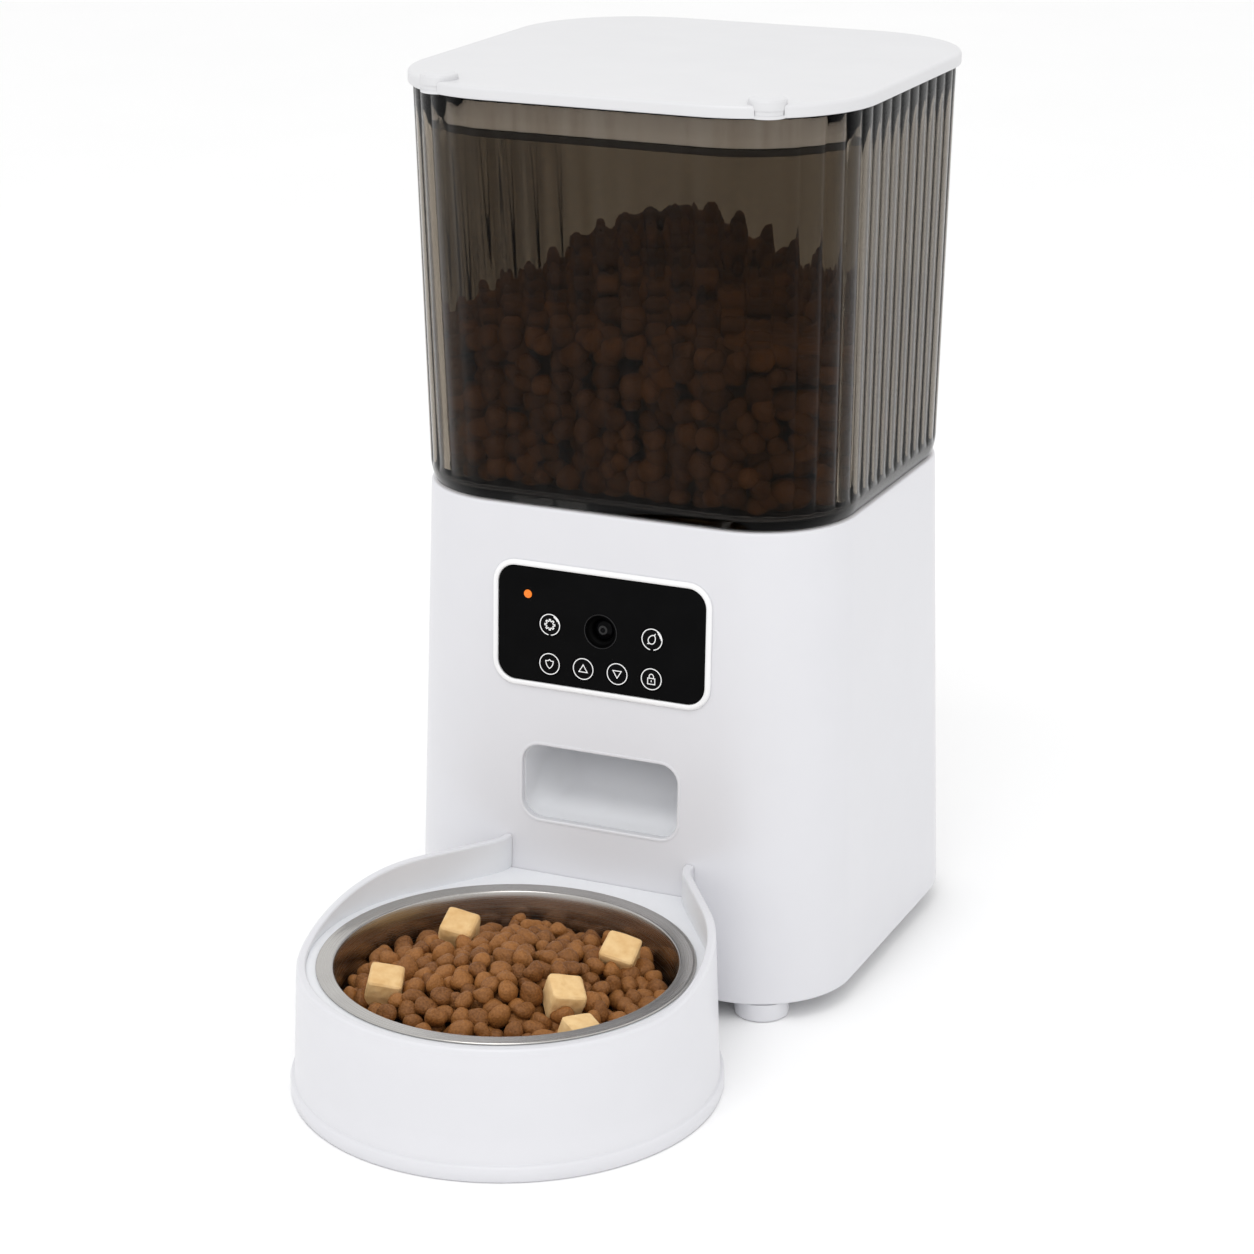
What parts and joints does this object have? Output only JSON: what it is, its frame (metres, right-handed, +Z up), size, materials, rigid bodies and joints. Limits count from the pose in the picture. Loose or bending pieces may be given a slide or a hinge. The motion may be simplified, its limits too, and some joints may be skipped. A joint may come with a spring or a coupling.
{
  "type": "automatic pet feeder",
  "caption": "Upright feeder with a smoked food tank, motor-driven portion wheel, control panel with camera, chute, and a steel bowl in a round holder in front.",
  "frame": {"origin": "on the floor, at the middle of the bounding box", "axes": "+Z up, the bowl side towards -Y, +X to the right when the feeder is seen from the front"},
  "size_m": [0.1944, 0.3632, 0.3784],
  "materials": {
    "white_plastic": "satin moulded",
    "inner_white": "matte moulded",
    "foot": "soft, light grey",
    "smoked_plastic": "polished, see-through",
    "black_gloss": "polished",
    "black_matte": "matte",
    "lens": "coated lens",
    "led": "diffuse light",
    "rubber": "soft",
    "steel": "plain",
    "bowl_steel": "polished inside, brushed rim",
    "gear": "natural acetal",
    "grey_vane": "soft blades",
    "circuit_board": "solder mask",
    "cell": "sleeve"
  },
  "bodies": {
    "root": {"outer_shell": "white_plastic", "top_deck": "inner_white", "base_plate": "white_plastic", "foot_front_left": "foot", "foot_front_right": "foot", "foot_rear_left": "foot", "foot_rear_right": "foot", "base_screw_1": "steel", "base_screw_2": "steel", "base_screw_3": "steel", "base_screw_4": "steel", "control_bezel": "white_plastic", "control_panel": "black_gloss", "panel_board": "circuit_board", "status_led": "led", "camera_barrel": "black_matte", "camera_lens": "lens", "camera_board": "circuit_board", "chute": "inner_white", "gearbox_base": "inner_white", "gearbox_cover": "inner_white", "motor": "steel", "idler_pin": "steel", "battery_1": "cell", "battery_2": "cell", "battery_3": "cell", "battery_spring_1": "steel", "battery_spring_2": "steel", "battery_spring_3": "steel", "battery_contact": "steel", "battery_box": "black_matte", "main_board": "circuit_board", "speaker": "black_matte", "dc_jack": "black_matte", "bowl_holder": "white_plastic"},
    "tank": {"food_tank": "smoked_plastic", "hopper": "inner_white", "lid_hinge_pin": "steel"},
    "wheel": {"food_wheel": "grey_vane", "agitator": "grey_vane"},
    "lid": {"lid": "white_plastic", "lid_seal": "rubber", "desiccant_box": "inner_white", "desiccant_cover": "inner_white"},
    "latch_left": {"latch_button_left": "white_plastic"},
    "latch_right": {"latch_button_right": "white_plastic"},
    "bowl": {"bowl": "bowl_steel"},
    "battery_door": {"battery_door": "white_plastic"},
    "output": {"output_gear": "gear", "drive_shaft": "steel"},
    "idler": {"idler_gear": "gear"},
    "pinion": {"motor_pinion": "steel"},
    "key_settings": {"key_settings": "black_gloss"},
    "key_feed": {"key_feed": "black_gloss"},
    "key_mode": {"key_mode": "black_gloss"},
    "key_up": {"key_up": "black_gloss"},
    "key_down": {"key_down": "black_gloss"},
    "key_lock": {"key_lock": "black_gloss"}
  },
  "joints": [
    {"name": "tank_lift", "type": "slide", "parent": "root", "child": "tank", "axis": [0, 0, 1], "range_m": [0, 0.12]},
    {"name": "lid_hinge", "type": "hinge", "parent": "tank", "child": "lid", "pos_m": [0, 0.179, 0.3675], "axis": [-1, 0, 0], "range_deg": [0, 105]},
    {"name": "latch_left_press", "type": "slide", "parent": "lid", "child": "latch_left", "axis": [0, 0, -1], "range_m": [0, 0.0018], "stiffness_N_per_m": 400, "springref_m": -0.002},
    {"name": "latch_right_press", "type": "slide", "parent": "lid", "child": "latch_right", "axis": [0, 0, -1], "range_m": [0, 0.0018], "stiffness_N_per_m": 400, "springref_m": -0.002},
    {"name": "bowl_lift", "type": "slide", "parent": "root", "child": "bowl", "axis": [0, 0, 1], "range_m": [0, 0.08]},
    {"name": "battery_door_slide", "type": "slide", "parent": "root", "child": "battery_door", "axis": [0, 1, 0], "range_m": [0, 0.012]},
    {"name": "output_spin", "type": "hinge", "parent": "root", "child": "output", "pos_m": [0, 0.0794, 0.1], "axis": [0, 0, 1], "continuous": true},
    {"name": "wheel_spin", "type": "hinge", "parent": "tank", "child": "wheel", "pos_m": [0, 0.0794, 0.135], "axis": [0, 0, 1], "continuous": true},
    {"name": "idler_spin", "type": "hinge", "parent": "root", "child": "idler", "pos_m": [0, 0.1054, 0.1], "axis": [0, 0, 1], "continuous": true},
    {"name": "pinion_spin", "type": "hinge", "parent": "root", "child": "pinion", "pos_m": [0, 0.1284, 0.1], "axis": [0, 0, 1], "continuous": true},
    {"name": "key_settings_press", "type": "slide", "parent": "root", "child": "key_settings", "axis": [0, 0.9993, -0.0378], "range_m": [0, 0.0006], "stiffness_N_per_m": 500, "springref_m": -0.001},
    {"name": "key_feed_press", "type": "slide", "parent": "root", "child": "key_feed", "axis": [0, 0.9993, -0.0378], "range_m": [0, 0.0006], "stiffness_N_per_m": 500, "springref_m": -0.001},
    {"name": "key_mode_press", "type": "slide", "parent": "root", "child": "key_mode", "axis": [0, 0.9993, -0.0378], "range_m": [0, 0.0006], "stiffness_N_per_m": 500, "springref_m": -0.001},
    {"name": "key_up_press", "type": "slide", "parent": "root", "child": "key_up", "axis": [0, 0.9993, -0.0378], "range_m": [0, 0.0006], "stiffness_N_per_m": 500, "springref_m": -0.001},
    {"name": "key_down_press", "type": "slide", "parent": "root", "child": "key_down", "axis": [0, 0.9993, -0.0378], "range_m": [0, 0.0006], "stiffness_N_per_m": 500, "springref_m": -0.001},
    {"name": "key_lock_press", "type": "slide", "parent": "root", "child": "key_lock", "axis": [0, 0.9993, -0.0378], "range_m": [0, 0.0006], "stiffness_N_per_m": 500, "springref_m": -0.001}
  ],
  "couplings": [
    {"joint": "wheel_spin", "follows": "output_spin", "ratio": 1},
    {"joint": "idler_spin", "follows": "output_spin", "ratio": -3.3333},
    {"joint": "pinion_spin", "follows": "output_spin", "ratio": 12}
  ]
}
